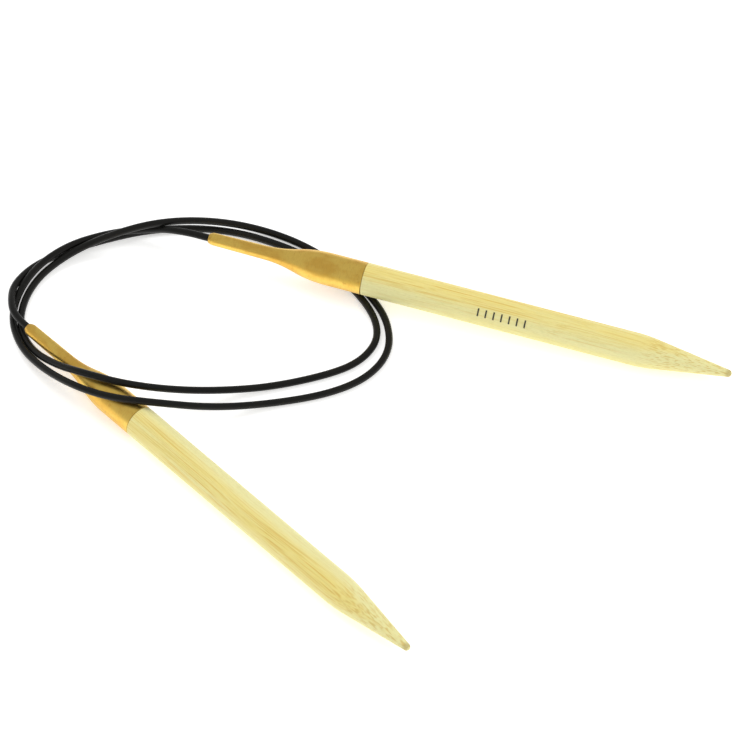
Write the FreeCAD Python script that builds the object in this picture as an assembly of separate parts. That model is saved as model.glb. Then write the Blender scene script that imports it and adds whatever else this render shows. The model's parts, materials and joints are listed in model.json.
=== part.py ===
import FreeCAD, Part
import math
import os

# Circular knitting needle, 7.00 mm: two bamboo tips, each glued into a turned brass ferrule,
# joined by one flexible nylon cable that lies wound in a little over two turns.
# Inside each ferrule a stop crimped on the cable's end holds the cable and lets the needle swivel on it.
# Units are millimetres. +Z is up and the object lies on the plane Z = 0.

Vector = FreeCAD.Vector

# Driving dimensions
NEEDLE_DIA = 7.0            # gauge of the needle
CABLE_DIA = 1.55
BAMBOO_VISIBLE = 80.1       # joint line to the end of the point
POINT_LENGTH = 18.8         # conical stretch at the free end
POINT_END_R = 0.8           # ball radius that blunts the point
SHOULDER_ROUND_R = 30.0     # soft change from the shaft to the cone
SPIGOT_DIA = 5.6            # turned-down end of the bamboo, inside the ferrule
SPIGOT_LENGTH = 7.5
FERRULE_LENGTH = 34.6
FERRULE_STRAIGHT = 8.0      # full-diameter stretch next to the bamboo
FERRULE_NECK_START = 22.5   # where the S-shaped taper ends
NECK_DIA = 3.0              # where the taper ends
NECK_DIA_AT_MOUTH = 2.7     # the neck narrows a little towards its open end
MOUTH_DIA = 2.0             # and rounds off to this
MOUTH_ROUND_LENGTH = 1.25
MOUTH_BEVEL = 0.08          # inner edge of the mouth, so that it doesn't cut the cable
GLUE_GAP = 0.05             # radial glue line round the spigot
SOCKET_DEPTH = 8.0
STOP_SEAT = 15.2            # depth of the step that the end stop bears on
STOP_DIA = 2.6
STOP_LENGTH = 5.0
STOP_EDGE_ROUND = 0.25
STOP_END_PLAY = 0.2         # axial play of the end stop
SWIVEL_GAP = 0.05           # radial running clearance
JOINT_EDGE_BREAK = 0.12     # tiny bevels that leave a fine line at the joint
FLEX_REACH = 3.0            # distance from needle A's mouth to the point where the cable bends

# Where the needles lie: centre of the joint line, and the heading of the point in plan
NEEDLE_A_JOINT = Vector(-2.26, 41.26, 5.25)
NEEDLE_A_HEADING = -17.5
NEEDLE_A_TILT = 1.65        # its ferrule rests on two turns of the cable, its shoulder on the table
NEEDLE_B_JOINT = Vector(-48.8, 4.3, NEEDLE_DIA / 2)
NEEDLE_B_HEADING = -46.2
NEEDLE_B_TILT = 0.0

# Route of the free cable, from the flex point outside needle A's mouth to needle B's mouth.
# The first and last points are worked out from the ferrules; these lie between them.
CABLE_ROUTE = [
    (-42.1, 53.8, 6.4),     # straight out of needle A, then down onto the turns below
    (-48.0, 57.0, 3.6),
    (-56.5, 57.0, 2.4),
    (-66.0, 53.0, 2.8),
    (-73.5, 45.0, 2.2),
    (-77.0, 35.5, 0.8),     # left end of the first turn, on the table
    (-74.9, 25.8, 1.4),
    (-69.8, 18.2, 4.2),
    (-62.5, 11.5, 8.2),
    (-55.0, 7.0, 10.9),     # over ferrule B, one point each side of it
    (-45.5, 6.0, 10.9),
    (-34.0, 8.5, 5.0),
    (-22.5, 11.0, 0.8),
    (-10.0, 13.5, 0.8),
    (-1.5, 18.0, 0.8),
    (3.0, 25.0, 0.8),       # right end of the first turn
    (2.5, 33.5, 0.8),
    (-1.5, 41.0, 0.8),      # under needle A
    (-8.5, 49.5, 0.8),
    (-19.0, 57.0, 0.8),
    (-32.0, 60.5, 2.4),
    (-45.0, 57.5, 6.4),     # over the cable's own start
    (-56.5, 55.0, 4.4),
    (-66.0, 51.0, 1.6),
    (-73.0, 43.5, 0.8),
    (-75.0, 33.5, 0.8),     # left end of the second turn
    (-72.2, 24.9, 1.8),
    (-66.6, 18.1, 6.2),
    (-60.5, 13.6, 10.9),    # over ferrule B again
    (-52.5, 10.8, 10.9),
    (-43.0, 11.2, 7.0),
    (-33.0, 13.5, 2.4),
    (-21.5, 15.5, 0.8),
    (-8.5, 19.0, 0.8),
    (-2.3, 23.1, 0.8),      # right end of the second turn
    (0.6, 29.2, 0.8),
    (-1.2, 37.0, 0.8),
    (-8.0, 46.5, 0.8),      # under needle A again
    (-18.0, 53.5, 0.8),
    (-31.5, 59.0, 0.8),
    (-46.5, 59.5, 0.8),     # lowest strand of the bundle
    (-60.0, 55.5, 0.8),
    (-71.0, 50.0, 0.8),
    (-76.5, 43.0, 1.4),     # climbing over both turns to needle B's mouth
    (-77.3, 36.7, 2.9),
]
CABLE_LAST_RUN = 4.1        # straight run into needle B's mouth
ARC_SHARE = 0.45            # share of the shorter run that an arc takes up at each end

# Derived sizes
NEEDLE_R = NEEDLE_DIA / 2
CABLE_R = CABLE_DIA / 2
NECK_R = NECK_DIA / 2
NECK_END_R = NECK_DIA_AT_MOUTH / 2
MOUTH_R = MOUTH_DIA / 2
STOP_R = STOP_DIA / 2
SPIGOT_R = SPIGOT_DIA / 2
BORE_R = CABLE_R + SWIVEL_GAP
CAVITY_R = STOP_R + SWIVEL_GAP
SOCKET_R = SPIGOT_R + GLUE_GAP
STOP_FRONT = -STOP_SEAT + STOP_END_PLAY / 2
STOP_BACK = STOP_FRONT + STOP_LENGTH
AXIS_X = Vector(1, 0, 0)


def needle_placement(joint, heading, tilt):
    """Puts a needle made along +X, joint line at X = 0 and point ahead, where it lies."""
    turn = FreeCAD.Rotation(Vector(0, 0, 1), heading)
    dip = FreeCAD.Rotation(Vector(0, 1, 0), tilt)
    return FreeCAD.Placement(joint, turn.multiply(dip))


def point(x, r):
    return Vector(x, r, 0)


def line(a, b):
    return Part.LineSegment(a, b).toShape()


def arc(a, middle, b):
    return Part.Arc(a, middle, b).toShape()


def revolve(edges):
    """Solid of revolution about the X axis of a closed outline in the X-Y plane."""
    face = Part.Face(Part.Wire(edges))
    return face.revolve(Vector(0, 0, 0), AXIS_X, 360)


def polyline(points):
    return [line(a, b) for a, b in zip(points, points[1:])]


def bamboo_tip():
    """Shaft with a spigot behind and a blunt conical point ahead, its shoulder softly rounded."""
    shoulder_x = BAMBOO_VISIBLE - POINT_LENGTH
    ball_x = BAMBOO_VISIBLE - POINT_END_R
    reach = math.hypot(ball_x - shoulder_x, NEEDLE_R)
    cone = math.atan2(NEEDLE_R, ball_x - shoulder_x) - math.asin(POINT_END_R / reach)
    trim = SHOULDER_ROUND_R * math.tan(cone / 2)

    round_start = point(shoulder_x - trim, NEEDLE_R)
    round_centre = point(shoulder_x - trim, NEEDLE_R - SHOULDER_ROUND_R)
    round_middle = round_centre + SHOULDER_ROUND_R * point(math.sin(cone / 2), math.cos(cone / 2))
    round_end = round_centre + SHOULDER_ROUND_R * point(math.sin(cone), math.cos(cone))

    half = (math.pi / 2 - cone) / 2
    ball_start = point(ball_x, 0) + POINT_END_R * point(math.sin(cone), math.cos(cone))
    ball_middle = point(ball_x, 0) + POINT_END_R * point(math.cos(half), math.sin(half))
    ball_end = point(BAMBOO_VISIBLE, 0)

    spigot_bevel = 0.4
    edges = polyline([
        point(-SPIGOT_LENGTH, 0),
        point(-SPIGOT_LENGTH, SPIGOT_R - spigot_bevel),
        point(-SPIGOT_LENGTH + spigot_bevel, SPIGOT_R),
        point(0, SPIGOT_R),
        point(0, NEEDLE_R - JOINT_EDGE_BREAK),
        point(JOINT_EDGE_BREAK, NEEDLE_R),
        round_start,
    ])
    edges.append(arc(round_start, round_middle, round_end))
    edges.append(line(round_end, ball_start))
    edges.append(arc(ball_start, ball_middle, ball_end))
    edges.append(line(ball_end, point(-SPIGOT_LENGTH, 0)))
    return revolve(edges)


def ferrule():
    """Brass ferrule: straight sleeve, S-shaped taper of two equal arcs, neck and rounded mouth.
    Drilled in three steps: socket for the bamboo, cavity for the end stop, bore for the cable."""
    drop = NEEDLE_R - NECK_R
    span = FERRULE_NECK_START - FERRULE_STRAIGHT
    taper_r = (span ** 2 + drop ** 2) / (4 * drop)
    quarter = math.asin(span / 2 / taper_r) / 2
    rise = taper_r * (1 - math.cos(quarter))
    shift = taper_r * math.sin(quarter)

    taper_start = point(-FERRULE_STRAIGHT, NEEDLE_R)
    taper_middle = point(-(FERRULE_STRAIGHT + FERRULE_NECK_START) / 2, (NEEDLE_R + NECK_R) / 2)
    taper_end = point(-FERRULE_NECK_START, NECK_R)
    upper = point(-FERRULE_STRAIGHT - shift, NEEDLE_R - rise)
    lower = point(-FERRULE_NECK_START + shift, NECK_R + rise)

    fall = NECK_END_R - MOUTH_R
    mouth_round_r = (MOUTH_ROUND_LENGTH ** 2 + fall ** 2) / (2 * fall)
    half_round = math.asin(MOUTH_ROUND_LENGTH / mouth_round_r) / 2
    round_x = -FERRULE_LENGTH + MOUTH_ROUND_LENGTH
    round_start = point(round_x, NECK_END_R)
    round_middle = point(round_x - mouth_round_r * math.sin(half_round),
                         NECK_END_R - mouth_round_r * (1 - math.cos(half_round)))
    round_end = point(-FERRULE_LENGTH, MOUTH_R)

    edges = [
        arc(taper_start, upper, taper_middle),
        arc(taper_middle, lower, taper_end),
        line(taper_end, round_start),
        arc(round_start, round_middle, round_end),
    ]
    edges += polyline([
        round_end,
        point(-FERRULE_LENGTH, BORE_R + MOUTH_BEVEL),
        point(-FERRULE_LENGTH + MOUTH_BEVEL, BORE_R),
        point(-STOP_SEAT, BORE_R),
        point(-STOP_SEAT, CAVITY_R),
        point(-SOCKET_DEPTH, CAVITY_R),
        point(-SOCKET_DEPTH, SOCKET_R),
        point(0, SOCKET_R),
        point(0, NEEDLE_R - JOINT_EDGE_BREAK),
        point(-JOINT_EDGE_BREAK, NEEDLE_R),
        taper_start,
    ])
    return revolve(edges)


def end_stop():
    """Crimped sleeve on the cable's end, its outer edges rounded."""
    corner = STOP_EDGE_ROUND * (1 - math.sqrt(0.5))
    front_low = point(STOP_FRONT, STOP_R - STOP_EDGE_ROUND)
    front_high = point(STOP_FRONT + STOP_EDGE_ROUND, STOP_R)
    back_high = point(STOP_BACK - STOP_EDGE_ROUND, STOP_R)
    back_low = point(STOP_BACK, STOP_R - STOP_EDGE_ROUND)
    return revolve([
        line(point(STOP_FRONT, CABLE_R), front_low),
        arc(front_low, point(STOP_FRONT + corner, STOP_R - corner), front_high),
        line(front_high, back_high),
        arc(back_high, point(STOP_BACK - corner, STOP_R - corner), back_low),
        line(back_low, point(STOP_BACK, CABLE_R)),
        line(point(STOP_BACK, CABLE_R), point(STOP_FRONT, CABLE_R)),
    ])


def cable_end(reach):
    """Straight end of the cable, from the back of its end stop to reach beyond the mouth."""
    length = STOP_BACK + FERRULE_LENGTH + reach
    return Part.makeCylinder(CABLE_R, length, Vector(-FERRULE_LENGTH - reach, 0, 0), AXIS_X)


def route_points(start, end, end_direction):
    """The whole route: start, the listed points, a straight last run and end."""
    listed = [Vector(*p) for p in CABLE_ROUTE]
    return [start] + listed + [end - end_direction * CABLE_LAST_RUN, end]


def rounded_route(points):
    """Straight runs joined by tangent arcs. Returns the wire, its length and the arcs' radii."""
    edges = []
    radii = []
    here = points[0]
    for before, corner, after in zip(points, points[1:], points[2:]):
        back = before - corner
        ahead = after - corner
        cut = ARC_SHARE * min(back.Length, ahead.Length)
        half_turn = (math.pi - back.getAngle(ahead)) / 2
        radius = cut / math.tan(half_turn)
        back.normalize()
        ahead.normalize()
        arc_start = corner + back * cut
        arc_end = corner + ahead * cut
        to_centre = (back + ahead).normalize()
        arc_middle = corner + to_centre * (radius / math.cos(half_turn) - radius)
        edges.append(line(here, arc_start))
        edges.append(arc(arc_start, arc_middle, arc_end))
        radii.append(radius)
        here = arc_end
    edges.append(line(here, points[-1]))
    return Part.Wire(edges), sum(e.Length for e in edges), radii


def cable(points):
    """The free stretch of the cable: a round section swept along the rounded route."""
    path, length, radii = rounded_route(points)
    across = Part.Circle(points[0], points[1] - points[0], CABLE_R).toShape()
    solid = path.makePipeShell([Part.Wire([across])], True, True)
    expected = math.pi * CABLE_R ** 2 * length
    print("free cable length %.1f mm, radii %.1f to %.1f mm" % (length, min(radii), max(radii)))
    print("radii " + ", ".join("%.1f" % r for r in radii))
    print("free cable volume %.2f mm3, section times length %.2f mm3" % (solid.Volume, expected))
    return solid


def export(name, shape, placement=None):
    """Writes one node's solid to parts/name.step, placed where it lies."""
    solid = shape.copy()
    if placement is not None:
        solid.Placement = placement
    solid.exportStep("parts/%s.step" % name)
    box = solid.BoundBox
    print("%-13s X %.2f..%.2f  Y %.2f..%.2f  Z %.2f..%.2f" % (
        name, box.XMin, box.XMax, box.YMin, box.YMax, box.ZMin, box.ZMax))


def main():
    os.makedirs("parts", exist_ok=True)
    place_a = needle_placement(NEEDLE_A_JOINT, NEEDLE_A_HEADING, NEEDLE_A_TILT)
    place_b = needle_placement(NEEDLE_B_JOINT, NEEDLE_B_HEADING, NEEDLE_B_TILT)
    for side, place, reach in (("a", place_a, FLEX_REACH), ("b", place_b, 0.0)):
        export("bamboo_tip_" + side, bamboo_tip(), place)
        export("ferrule_" + side, ferrule(), place)
        export("end_stop_" + side, end_stop(), place)
        export("cable_end_" + side, cable_end(reach), place)

    flex_point = place_a.multVec(Vector(-FERRULE_LENGTH - FLEX_REACH, 0, 0))
    mouth_b = place_b.multVec(Vector(-FERRULE_LENGTH, 0, 0))
    into_b = place_b.Rotation.multVec(AXIS_X)
    print("flex point", flex_point, "needle A direction", place_a.Rotation.multVec(AXIS_X))
    print("mouth B", mouth_b, "needle B direction", into_b)
    export("cable", cable(route_points(flex_point, mouth_b, into_b)))


main()
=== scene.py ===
import bmesh
import bpy
import json
import math
from mathutils import Matrix, Vector


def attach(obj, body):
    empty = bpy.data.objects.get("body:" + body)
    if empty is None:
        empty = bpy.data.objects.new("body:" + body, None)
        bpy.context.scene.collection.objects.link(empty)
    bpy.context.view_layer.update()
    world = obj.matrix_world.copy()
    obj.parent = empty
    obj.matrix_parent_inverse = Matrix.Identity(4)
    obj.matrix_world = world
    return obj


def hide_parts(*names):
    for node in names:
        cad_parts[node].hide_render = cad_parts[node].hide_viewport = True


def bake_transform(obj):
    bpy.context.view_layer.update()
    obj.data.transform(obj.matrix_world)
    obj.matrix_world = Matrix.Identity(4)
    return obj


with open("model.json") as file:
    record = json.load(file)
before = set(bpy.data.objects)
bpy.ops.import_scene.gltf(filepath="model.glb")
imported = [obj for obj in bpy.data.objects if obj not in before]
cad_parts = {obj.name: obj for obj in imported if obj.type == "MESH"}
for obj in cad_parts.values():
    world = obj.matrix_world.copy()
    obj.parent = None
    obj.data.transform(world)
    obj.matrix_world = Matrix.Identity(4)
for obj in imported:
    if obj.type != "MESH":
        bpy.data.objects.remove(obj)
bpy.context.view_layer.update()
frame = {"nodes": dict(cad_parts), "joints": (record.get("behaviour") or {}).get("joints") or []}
nodes = frame["nodes"]
joints = {j["name"]: j for j in frame["joints"]}

MM = 0.001

# Shape of the needles, as the CAD has them
SHAFT_R = 3.5 * MM
FERRULE_LENGTH = 34.6 * MM
SWIVEL_BEHIND_JOINT = 20.0 * MM     # the swivel's stated point, measured back from the joint line
CABLE_DIA = 1.55 * MM
CABLE_SIDES = 32                    # flats round the short tube
CABLE_CORNER_CUTS = 6               # smoothness of the free cable's round section
CABLE_SPAN_CUTS = 16                # its steps between two control points
STOP_BACK = 10.1 * MM               # where the cable's end lies, inside the ferrule

# Places along a needle for its materials, in mm past the joint line
SHOULDER_X = 61.3
POINT_X = 80.1
MOUTH_X = -FERRULE_LENGTH / MM

# Route of the free cable, in metres: control points of one smooth curve
CABLE_ROUTE = [
    (-0.03810, 0.05256, 0.00633),
    (-0.04210, 0.05375, 0.00640),
    (-0.0480, 0.0570, 0.0030),
    (-0.0565, 0.0566, 0.0023),
    (-0.0662, 0.0524, 0.0027),
    (-0.0735, 0.0451, 0.0023),
    (-0.0770, 0.0355, 0.0008),
    (-0.0746, 0.0259, 0.0016),
    (-0.0695, 0.0185, 0.0034),
    (-0.0625, 0.0115, 0.0062),
    (-0.0550, 0.0070, 0.0080),
    (-0.0455, 0.0058, 0.0077),
    (-0.0340, 0.0083, 0.0029),
    (-0.0225, 0.0109, 0.0008),
    (-0.0100, 0.0135, 0.0008),
    (-0.0015, 0.0180, 0.0008),
    (0.0031, 0.0250, 0.0008),
    (0.0026, 0.0336, 0.0008),
    (-0.0015, 0.0410, 0.0008),
    (-0.0085, 0.0494, 0.0008),
    (-0.0190, 0.0568, 0.0008),
    (-0.0320, 0.0601, 0.0020),
    (-0.0450, 0.0563, 0.0066),
    (-0.0565, 0.0544, 0.0042),
    (-0.0661, 0.0508, 0.0015),
    (-0.0729, 0.0436, 0.0008),
    (-0.0753, 0.0335, 0.0008),
    (-0.0724, 0.0250, 0.0016),
    (-0.0665, 0.0182, 0.0048),
    (-0.0605, 0.0136, 0.0079),
    (-0.0525, 0.0108, 0.0079),
    (-0.0430, 0.0112, 0.0053),
    (-0.0330, 0.0135, 0.0020),
    (-0.0215, 0.0155, 0.0008),
    (-0.0085, 0.0192, 0.0008),
    (-0.0023, 0.0231, 0.0008),
    (0.0009, 0.0292, 0.0008),
    (-0.0010, 0.0370, 0.0008),
    (-0.0080, 0.0465, 0.0008),
    (-0.0180, 0.0535, 0.0008),
    (-0.0315, 0.0588, 0.0008),
    (-0.0465, 0.0592, 0.0008),
    (-0.0600, 0.0552, 0.0008),
    (-0.0713, 0.0498, 0.0009),
    (-0.0765, 0.0426, 0.0021),
    (-0.0768, 0.0364, 0.0033),
    (-0.07559, 0.03223, 0.00350),
    (-0.07275, 0.02927, 0.00350),
]


def needle_frame(side):
    """Matrix of needle a or b: origin at the joint line's centre, +X towards the point, +Z up."""
    swivel = joints["needle_%s_swivel" % side]
    along = Vector(swivel["axis"]).normalized()
    origin = Vector(swivel["pos_m"]) + along * SWIVEL_BEHIND_JOINT
    across = Vector((0, 0, 1)).cross(along).normalized()
    up = along.cross(across)
    turn = Matrix((along, across, up)).transposed()
    return Matrix.Translation(origin) @ turn.to_4x4()


NEEDLE = {side: needle_frame(side) for side in "ab"}


def new_object(name, data):
    """Object in the scene that shows the given mesh, curve, light or camera."""
    made = bpy.data.objects.new(name, data)
    bpy.context.scene.collection.objects.link(made)
    return made


def mesh_object(name, mesh):
    """Object with the faces of a bmesh, their normals turned outwards."""
    bmesh.ops.recalc_face_normals(mesh, faces=mesh.faces)
    data = bpy.data.meshes.new(name)
    mesh.to_mesh(data)
    mesh.free()
    return new_object(name, data)


# ---------------------------------------------------------------- material helpers

class Tree:
    """A short way to write a node tree."""

    def __init__(self, name):
        self.material = bpy.data.materials.new(name)
        self.material.use_nodes = True
        self.tree = self.material.node_tree
        self.tree.nodes.clear()
        self.output = self.tree.nodes.new("ShaderNodeOutputMaterial")
        self.shader = self.tree.nodes.new("ShaderNodeBsdfPrincipled")
        self.link(self.shader.outputs[0], self.output.inputs["Surface"])

    def link(self, source, target):
        self.tree.links.new(source, target)

    def feed(self, socket, value):
        if isinstance(value, bpy.types.NodeSocket):
            self.link(value, socket)
        else:
            socket.default_value = value

    def node(self, kind, inputs=None, **settings):
        made = self.tree.nodes.new(kind)
        for key, value in settings.items():
            setattr(made, key, value)
        for key, value in (inputs or {}).items():
            self.feed(made.inputs[key], value)
        return made

    def math(self, operation, a, b=0.0, c=0.0):
        return self.node("ShaderNodeMath", {0: a, 1: b, 2: c}, operation=operation).outputs[0]

    def times(self, a, b):
        return self.math("MULTIPLY", a, b)

    def linear(self, value, gain, offset):
        """value * gain + offset, each a number or a socket."""
        return self.math("MULTIPLY_ADD", value, gain, offset)

    def without(self, value):
        """What is left of 1."""
        return self.math("SUBTRACT", 1.0, value)

    def scaled(self, vector, scale):
        return self.node("ShaderNodeVectorMath", {0: vector, 1: scale}, operation="MULTIPLY").outputs[0]

    def shifted(self, vector, offset):
        return self.node("ShaderNodeVectorMath", {0: vector, 1: offset}, operation="ADD").outputs[0]

    def noise(self, vector, scale, detail=2.0, rough=0.5):
        """Noise with its own scale along each axis, so that it can be drawn out into grain."""
        made = self.node("ShaderNodeTexNoise", {
            "Vector": self.scaled(vector, scale), "Scale": 1.0, "Detail": detail, "Roughness": rough})
        return made.outputs["Fac"]

    def ramp(self, value, low, high):
        """Smooth step: 0 up to low, 1 from high on."""
        made = self.node("ShaderNodeMapRange", {
            "Value": value, "From Min": low, "From Max": high, "To Min": 0.0, "To Max": 1.0},
            interpolation_type="SMOOTHSTEP", clamp=True)
        return made.outputs[0]

    def mix(self, share, a, b):
        made = self.node("ShaderNodeMix", data_type="RGBA", blend_type="MIX")
        sockets = [s for s in made.inputs if s.type == "RGBA"]
        self.feed(made.inputs[0], share)
        self.feed(sockets[0], a)
        self.feed(sockets[1], b)
        return [s for s in made.outputs if s.type == "RGBA"][0]

    def bump(self, height, distance, strength):
        made = self.node("ShaderNodeBump", {"Height": height, "Distance": distance, "Strength": strength})
        return made.outputs[0]

    def set(self, **values):
        for key, value in values.items():
            self.feed(self.shader.inputs[key.replace("_", " ")], value)
        return self.material


def srgb(r, g, b):
    """Linear colour of an 8-bit display colour."""
    def one(v):
        v /= 255.0
        return v / 12.92 if v <= 0.04045 else ((v + 0.055) / 1.055) ** 2.4
    return (one(r), one(g), one(b), 1.0)


def local_coordinates(t, side, roll=0.0):
    """Coordinates in the needle's own frame, in millimetres, rolled about its axis."""
    where = t.node("ShaderNodeTexCoord").outputs["Object"]
    matrix = NEEDLE[side] @ Matrix.Rotation(roll, 4, "X")
    into = t.node("ShaderNodeMapping", {
        "Vector": where, "Location": matrix.translation, "Rotation": matrix.to_euler(),
        "Scale": (MM, MM, MM)}, vector_type="TEXTURE")
    return into.outputs[0]


# ---------------------------------------------------------------- materials

CANE_PALE = srgb(241, 235, 171)
CANE_WARM = srgb(241, 230, 152)
CANE_SPECKLE = srgb(223, 217, 146)
CANE_DENSE = srgb(242, 218, 116)
CANE_FIBRE = srgb(222, 198, 100)
CANE_LINE = srgb(221, 184, 74)
CANE_DASH = srgb(214, 182, 84)
CANE_HAIR = srgb(250, 243, 200)
CANE_WORN_RIM = srgb(176, 154, 88)
# painted shade for the cane's side of the crease at the joint line
CANE_JOINT_SHADE = srgb(120, 104, 56)
BRASS_LIGHT = srgb(242, 205, 102)
BRASS_DARK = srgb(231, 185, 85)
BRASS_SPOT = srgb(200, 150, 70)
BRASS_SCOUR = srgb(206, 164, 84)
BRASS_MOUTH = srgb(170, 132, 62)
# painted shade for the brass side of the crease at the joint line
BRASS_JOINT_SHADE = srgb(120, 98, 48)
NYLON_DARK = srgb(12, 12, 9)
NYLON_LIGHT = srgb(18, 17, 13)
NYLON_SCUFF = srgb(40, 39, 34)
STEEL_DARK = srgb(178, 178, 174)
STEEL_LIGHT = srgb(206, 206, 202)
INK_FRESH = srgb(52, 52, 44)
INK_WORN = srgb(120, 114, 84)


def bamboo(side, roll, shift):
    """Cane of one tip. roll turns its dense side about the shaft, and shift picks another grain."""
    t = Tree("bamboo_" + side)
    place = local_coordinates(t, side, roll)
    x, y, z = t.node("ShaderNodeSeparateXYZ", {0: place}).outputs
    moved = t.shifted(place, (shift, shift * 0.37, shift * 0.71))

    # the grain runs along the shaft and wanders a little
    wander = t.noise(moved, (0.035, 0.12, 0.12), detail=1.0)
    sway = t.linear(wander, 1.6, -0.8)
    swayed = t.shifted(moved, t.node("ShaderNodeCombineXYZ", {0: 0.0, 1: sway, 2: sway}).outputs[0])

    # one side of the shaft is from the dense outer part of the cane, full of fibre lines
    patchy = t.noise(swayed, (0.03, 0.5, 0.5), detail=1.0)
    dense = t.times(t.ramp(y, 1.5, 3.3), t.ramp(patchy, 0.22, 0.52))
    warm = t.ramp(t.noise(swayed, (0.012, 0.22, 0.22), detail=2.0), 0.36, 0.66)
    crowd = t.times(t.ramp(t.noise(swayed, (0.018, 0.45, 0.16), detail=1.0), 0.46, 0.62), 0.38)
    crowd = t.math("MAXIMUM", crowd, dense)
    cone = t.ramp(x, SHOULDER_X - 1.0, SHOULDER_X + 4.0)

    # fibre bundles: long lines, cut short where the cone slices through them
    bundles = t.node("ShaderNodeTexVoronoi", {
        "Vector": t.scaled(swayed, (0.04, 2.5, 2.8)), "Scale": 1.0, "Randomness": 1.0}).outputs["Distance"]
    lines = t.without(t.ramp(bundles, 0.16, 0.44))
    lines = t.times(lines, crowd)
    fibres = t.ramp(t.noise(swayed, (0.05, 4.2, 4.2), detail=2.0, rough=0.6), 0.48, 0.68)
    hair = t.noise(swayed, (0.35, 12.0, 12.0), detail=2.0, rough=0.7)
    speckle = t.ramp(t.noise(moved, (1.3, 3.2, 3.2), detail=3.0, rough=0.7), 0.46, 0.70)
    dashes = t.ramp(t.noise(swayed, (0.38, 4.0, 4.0), detail=0.0), 0.54, 0.68)
    dashes = t.times(dashes, t.linear(cone, 0.75, 0.15))

    colour = t.mix(warm, CANE_PALE, CANE_WARM)
    colour = t.mix(t.times(speckle, 0.50), colour, CANE_SPECKLE)
    colour = t.mix(t.times(dense, 0.55), colour, CANE_DENSE)
    colour = t.mix(t.times(fibres, t.linear(dense, 0.40, 0.25)), colour, CANE_FIBRE)
    colour = t.mix(t.times(lines, 0.85), colour, CANE_LINE)
    colour = t.mix(t.times(dashes, 0.70), colour, CANE_DASH)
    colour = t.mix(t.times(t.ramp(hair, 0.35, 0.75), 0.16), colour, CANE_HAIR)

    # cut end grain on the blunt point, and a worn rim round it
    radius = t.math("SQRT", t.math("ADD", t.times(y, y), t.times(z, z)))
    end = t.ramp(x, POINT_X - 1.7, POINT_X - 0.6)
    rim = t.times(end, t.ramp(radius, 0.30, 0.62))
    colour = t.mix(t.times(rim, 0.55), colour, CANE_WORN_RIM)
    # painted shade: a darker thin band on the cane in the crease at the joint line
    cane_joint_shade = t.without(t.ramp(x, 0.04, 0.18))
    colour = t.mix(t.times(cane_joint_shade, 0.45), colour, CANE_JOINT_SHADE)

    height = t.math("ADD", t.times(hair, 0.5), t.times(lines, -0.6))
    height = t.math("ADD", height, t.times(dashes, -0.5))
    rough = t.linear(hair, 0.16, 0.40)
    rough = t.linear(lines, 0.08, rough)
    return t.set(Base_Color=colour, Roughness=rough, Specular_IOR_Level=0.42, Coat_Weight=0.10,
                 Coat_Roughness=0.30, Subsurface_Weight=0.06, Subsurface_Scale=0.0012,
                 Subsurface_Radius=(1.0, 0.75, 0.35),
                 Normal=t.bump(height, 0.018 * MM, 0.8))


def brass(side, shift):
    """Turned brass of one ferrule, a little tarnished. shift picks another patch of tarnish."""
    t = Tree("brass_" + side)
    place = local_coordinates(t, side)
    x = t.node("ShaderNodeSeparateXYZ", {0: place}).outputs[0]
    moved = t.shifted(place, (shift, shift, shift))
    clouds = t.noise(moved, (0.16, 0.28, 0.28), detail=3.0, rough=0.6)
    spots = t.ramp(t.noise(moved, (1.1, 1.1, 1.1), detail=2.0), 0.66, 0.76)
    rings = t.noise(place, (14.0, 0.02, 0.02), detail=2.0, rough=0.7)
    drawn = t.noise(moved, (0.5, 7.0, 7.0), detail=2.0, rough=0.7)

    colour = t.mix(t.ramp(clouds, 0.38, 0.62), BRASS_LIGHT, BRASS_DARK)
    colour = t.mix(t.times(spots, 0.35), colour, BRASS_SPOT)
    scour = t.ramp(t.noise(moved, (5.0, 0.9, 0.9), detail=3.0, rough=0.7), 0.45, 0.72)
    colour = t.mix(t.times(scour, 0.30), colour, BRASS_SCOUR)
    mouth = t.without(t.ramp(x, MOUTH_X + 0.2, MOUTH_X + 1.0))
    colour = t.mix(t.times(mouth, 0.25), colour, BRASS_MOUTH)
    # painted shade: a darker thin band on the brass in the crease where it meets the cane
    brass_joint_shade = t.ramp(x, -0.18, -0.04)
    colour = t.mix(t.times(brass_joint_shade, 0.35), colour, BRASS_JOINT_SHADE)

    rough = t.linear(clouds, 0.18, 0.25)
    rough = t.linear(scour, 0.10, rough)
    rough = t.linear(spots, 0.18, rough)
    rough = t.linear(drawn, 0.06, rough)
    height = t.math("ADD", t.times(rings, 0.5), t.times(drawn, 0.5))
    return t.set(Base_Color=colour, Metallic=1.0, Roughness=rough, Normal=t.bump(height, 0.0016 * MM, 0.6))


def cable_material():
    """Near-black nylon with a soft sheen. Its noise scales are per metre."""
    t = Tree("cable_nylon")
    where = t.node("ShaderNodeTexCoord").outputs["Object"]
    fine = t.noise(where, (9000, 9000, 9000), detail=2.0, rough=0.6)
    patches = t.noise(where, (160, 160, 160), detail=3.0)
    scuffs = t.ramp(t.noise(where, (1400, 1400, 1400), detail=2.0), 0.62, 0.76)
    colour = t.mix(t.ramp(patches, 0.35, 0.7), NYLON_DARK, NYLON_LIGHT)
    colour = t.mix(t.times(scuffs, 0.25), colour, NYLON_SCUFF)
    rough = t.linear(patches, 0.14, 0.30)
    rough = t.linear(scuffs, 0.12, rough)
    return t.set(Base_Color=colour, Roughness=rough, Specular_IOR_Level=0.24, Sheen_Weight=0.02,
                 Normal=t.bump(fine, 0.006 * MM, 0.5))


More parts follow.
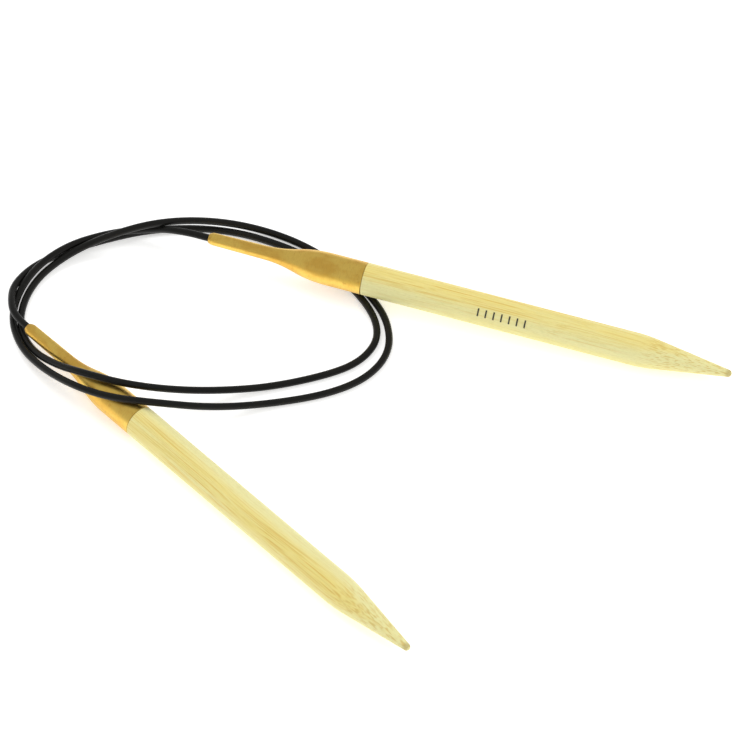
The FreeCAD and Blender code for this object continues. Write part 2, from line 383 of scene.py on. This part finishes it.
def crimp_material(side):
    """Turned steel of one end stop."""
    t = Tree("crimp_" + side)
    place = local_coordinates(t, side)
    turned = t.noise(place, (9.0, 0.1, 0.1), detail=2.0)
    clouds = t.noise(place, (0.9, 0.9, 0.9), detail=2.0)
    colour = t.mix(clouds, STEEL_DARK, STEEL_LIGHT)
    return t.set(Base_Color=colour, Metallic=1.0, Roughness=t.linear(turned, 0.2, 0.28),
                 Normal=t.bump(turned, 0.004 * MM, 0.6))


def ink_material():
    """Dark print, a little worn. Its noise scales are per metre."""
    t = Tree("ink")
    where = t.node("ShaderNodeTexCoord").outputs["Object"]
    worn = t.ramp(t.noise(where, (5000, 5000, 5000), detail=3.0), 0.55, 0.75)
    colour = t.mix(t.times(worn, 0.55), INK_FRESH, INK_WORN)
    return t.set(Base_Color=colour, Roughness=0.55)


def paint(obj, material):
    obj.data.materials.clear()
    obj.data.materials.append(material)


paint(nodes["bamboo_tip_a"], bamboo("a", roll=math.radians(82), shift=3.0))
paint(nodes["bamboo_tip_b"], bamboo("b", roll=math.radians(136), shift=41.0))
paint(nodes["ferrule_a"], brass("a", shift=5.0))
paint(nodes["ferrule_b"], brass("b", shift=23.0))
paint(nodes["end_stop_a"], crimp_material("a"))
paint(nodes["end_stop_b"], crimp_material("b"))
nylon = cable_material()
paint(nodes["cable_end_b"], nylon)


# ---------------------------------------------------------------- the free cable

def cable_curve():
    """The free cable: one smooth curve through the turns, with a round section."""
    data = bpy.data.curves.new("free_cable", "CURVE")
    data.dimensions = "3D"
    spline = data.splines.new("NURBS")
    spline.points.add(len(CABLE_ROUTE) - 1)
    for target, xyz in zip(spline.points, CABLE_ROUTE):
        target.co = (*xyz, 1.0)
    spline.order_u = 3
    spline.use_endpoint_u = True
    spline.resolution_u = CABLE_SPAN_CUTS
    data.bevel_depth = CABLE_DIA / 2
    data.bevel_resolution = CABLE_CORNER_CUTS
    data.materials.append(nylon)
    return new_object("free_cable", data)


cable = cable_curve()
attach(cable, "cable_coil")
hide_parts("cable")


def tube(name, matrix, stations, radius):
    """Round solid rod along the matrix's X axis with a ring at each station."""
    mesh = bmesh.new()
    angles = [2 * math.pi * k / CABLE_SIDES for k in range(CABLE_SIDES)]
    rings = [[mesh.verts.new(matrix @ Vector((x, radius * math.cos(a), radius * math.sin(a))))
              for a in angles] for x in stations]
    for low, high in zip(rings, rings[1:]):
        for k in range(CABLE_SIDES):
            after = (k + 1) % CABLE_SIDES
            mesh.faces.new((low[k], high[k], high[after], low[after])).smooth = True
    mesh.faces.new(rings[0])
    mesh.faces.new(list(reversed(rings[-1])))
    return mesh_object(name, mesh)


flex_point = Vector(joints["needle_a_lift"]["pos_m"])
mouth_a = NEEDLE["a"] @ Vector((-FERRULE_LENGTH, 0, 0))
flex_length = (flex_point - mouth_a).length

# Rings of the straight cable end: close together from the flex point to the mouth, then three inside the
# ferrule
FLEX_CUTS = 16
FIRST_RING_INSIDE = 2 * MM
SECOND_RING_INSIDE = 10 * MM
bend_stations = [-FERRULE_LENGTH - flex_length * (1 - k / FLEX_CUTS) for k in range(FLEX_CUTS + 1)]
inner_stations = [-FERRULE_LENGTH + FIRST_RING_INSIDE, -FERRULE_LENGTH + SECOND_RING_INSIDE, -STOP_BACK]
flex = tube("cable_flex_a", NEEDLE["a"], bend_stations + inner_stations, CABLE_DIA / 2)
paint(flex, nylon)
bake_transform(flex)
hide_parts("cable_end_a")


# ---------------------------------------------------------------- generic size mark

TICK_COUNT = 7
TICK_FIRST = 25.5 * MM
TICK_STEP = 1.7 * MM
TICK_WIDTH = 0.34 * MM
TICK_ARC = 0.50                      # radians round the shaft
TICK_ANGLE = math.radians(37)        # height of the mark's middle above the horizontal
TICK_THICK = 0.012 * MM
TICK_CUTS = 8


def ticks():
    """Plain ink strokes across the shaft, each a thin curved patch on its surface."""
    mesh = bmesh.new()
    for k in range(TICK_COUNT):
        x0 = TICK_FIRST + k * TICK_STEP
        shells = []
        for r in (SHAFT_R, SHAFT_R + TICK_THICK):
            rows = []
            for i in range(TICK_CUTS + 1):
                a = TICK_ANGLE + TICK_ARC * (i / TICK_CUTS - 0.5)
                y, z = -r * math.cos(a), r * math.sin(a)
                rows.append([mesh.verts.new(NEEDLE["a"] @ Vector((x, y, z)))
                             for x in (x0, x0 + TICK_WIDTH)])
            shells.append(rows)
        low, high = shells
        for i in range(TICK_CUTS):
            mesh.faces.new((high[i][0], high[i][1], high[i + 1][1], high[i + 1][0]))
            mesh.faces.new((low[i][0], low[i + 1][0], low[i + 1][1], low[i][1]))
            for side in (0, 1):
                mesh.faces.new((low[i][side], low[i + 1][side], high[i + 1][side], high[i][side]))
        for i in (0, TICK_CUTS):
            mesh.faces.new((low[i][0], low[i][1], high[i][1], high[i][0]))
    return mesh_object("size_ticks", mesh)


mark = ticks()
paint(mark, ink_material())
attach(mark, "needle_a")


# ---------------------------------------------------------------- floor, light and camera

FLOOR_HALF_SIDE = 4.0
FLOOR_GLOW = 0.48
PAPER_DARK, PAPER_LIGHT = (0.88, 0.88, 0.88, 1), (0.90, 0.90, 0.90, 1)
GLOW_COLOUR = (1, 0.995, 0.975, 1)
SKY_COLOUR = (0.99, 0.995, 1.0, 1)
SKY_STRENGTH = 0.58
LIGHT_SIZE = 1.2
KEY_PLACE, KEY_POWER = (-0.7, 0.9, 1.5), 14.0
FILL_PLACE, FILL_POWER = (1.2, -0.6, 1.3), 8.0


def floor_plane():
    """White paper under the object, lit a little from within so that it stays white."""
    side = FLOOR_HALF_SIDE
    data = bpy.data.meshes.new("floor")
    corners = [(-side, -side, 0), (side, -side, 0), (side, side, 0), (-side, side, 0)]
    data.from_pydata(corners, [], [(0, 1, 2, 3)])
    made = new_object("floor", data)
    t = Tree("floor_paper")
    where = t.node("ShaderNodeTexCoord").outputs["Object"]
    paper = t.noise(where, (60, 60, 60), detail=3.0)
    paint(made, t.set(Base_Color=t.mix(paper, PAPER_DARK, PAPER_LIGHT), Roughness=0.9,
                      Specular_IOR_Level=0.1, Emission_Color=GLOW_COLOUR, Emission_Strength=FLOOR_GLOW))
    return made


floor_plane()

world = bpy.data.worlds.new("studio")
bpy.context.scene.world = world
world.use_nodes = True
backdrop = world.node_tree.nodes["Background"]
backdrop.inputs["Color"].default_value = SKY_COLOUR
backdrop.inputs["Strength"].default_value = SKY_STRENGTH


def area_light(name, place, power):
    """Soft square light aimed at the middle of the object. It has no mirror image in the metal."""
    data = bpy.data.lights.new(name, "AREA")
    data.shape = "SQUARE"
    data.size = LIGHT_SIZE
    data.energy = power
    made = new_object(name, data)
    made.location = place
    made.rotation_euler = (-Vector(place)).to_track_quat("-Z", "Y").to_euler()
    made.visible_glossy = False


area_light("key", KEY_PLACE, KEY_POWER)
area_light("fill", FILL_PLACE, FILL_POWER)

CAMERA_ELEVATION = math.radians(50.96)
CAMERA_DISTANCE = 1.0
CAMERA_LENS = 233.4                  # mm, on a sensor of CAMERA_SENSOR mm
CAMERA_SENSOR = 36.0
CAMERA_CLIP_START = 0.05
LOOK_AT = Vector((-0.00136, 0.02096, 0.0))
camera_data = bpy.data.cameras.new("camera")
camera_data.sensor_width = CAMERA_SENSOR
camera_data.lens = CAMERA_LENS
camera_data.clip_start = CAMERA_CLIP_START
camera = new_object("camera", camera_data)
camera.location = LOOK_AT + CAMERA_DISTANCE * Vector(
    (0, -math.cos(CAMERA_ELEVATION), math.sin(CAMERA_ELEVATION)))
camera.rotation_euler = (math.pi / 2 - CAMERA_ELEVATION, 0, 0)
bpy.context.scene.camera = camera
bpy.context.scene.view_settings.view_transform = "Standard"
